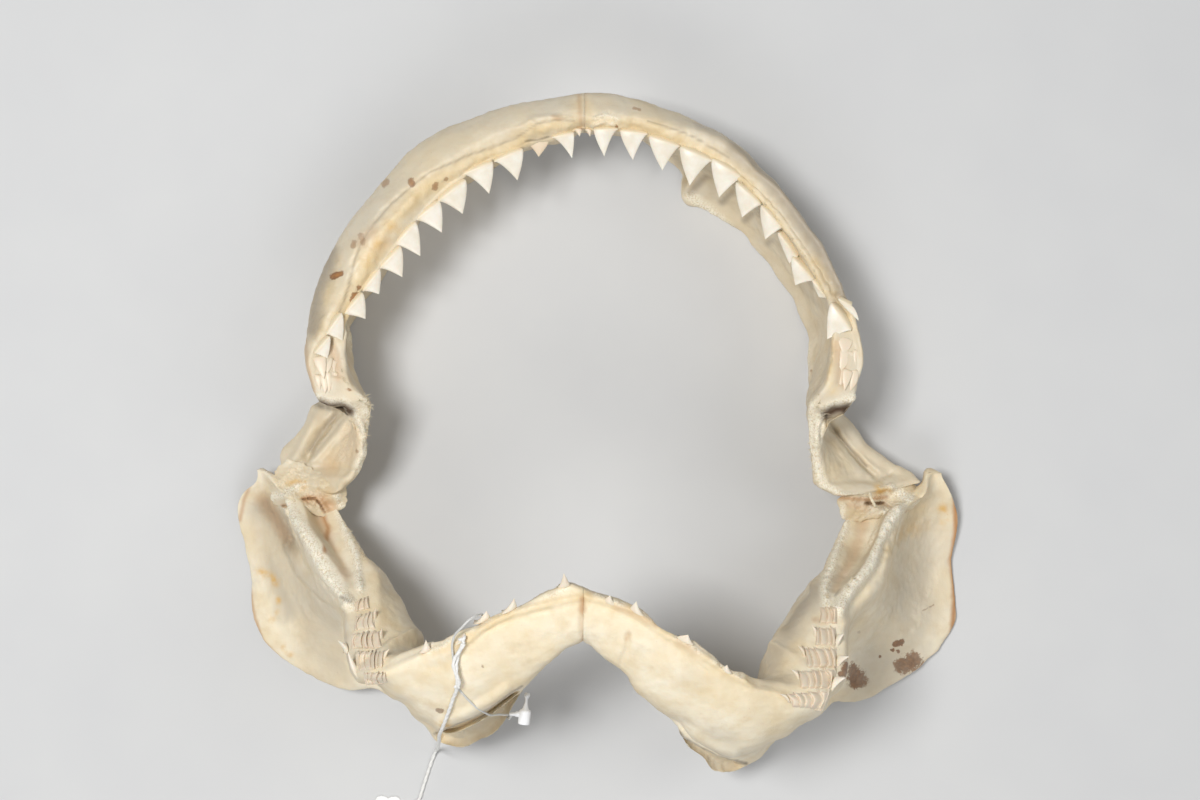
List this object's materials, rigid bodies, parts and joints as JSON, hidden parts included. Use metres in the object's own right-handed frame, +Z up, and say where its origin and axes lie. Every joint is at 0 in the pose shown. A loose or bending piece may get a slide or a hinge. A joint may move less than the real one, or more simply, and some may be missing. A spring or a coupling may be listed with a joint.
{
  "type": "shark jaw",
  "caption": "Dried shark jaw lying with its mouth wide open, toothed in both jaws, with a blank card label tied on by a string and a nylon loop.",
  "frame": {"origin": "middle of the jaw's outline seen from above, on the floor it lies on, without the label and its string", "axes": "+Z up, +Y from the lower jaw's front towards the snout end of the upper jaw, +X to the right of the picture"},
  "size_m": [0.2262, 0.2557, 0.0933],
  "materials": {
    "cartilage": "dried, satin",
    "ligament": "dried, rough",
    "cotton": "matt",
    "nylon": "satin",
    "plastic": "satin",
    "card": "matt paper"
  },
  "bodies": {
    "root": {"upper_jaw_left": "cartilage", "upper_jaw_right": "cartilage", "lower_jaw_left": "cartilage", "lower_jaw_right": "cartilage", "jaw_joint_left": "ligament", "jaw_joint_right": "ligament", "tag_string": "cotton", "string_knot": "cotton", "tag_knot": "cotton", "tag": "card", "nylon_loop": "nylon", "lock_pin": "plastic"}
  },
  "joints": []
}
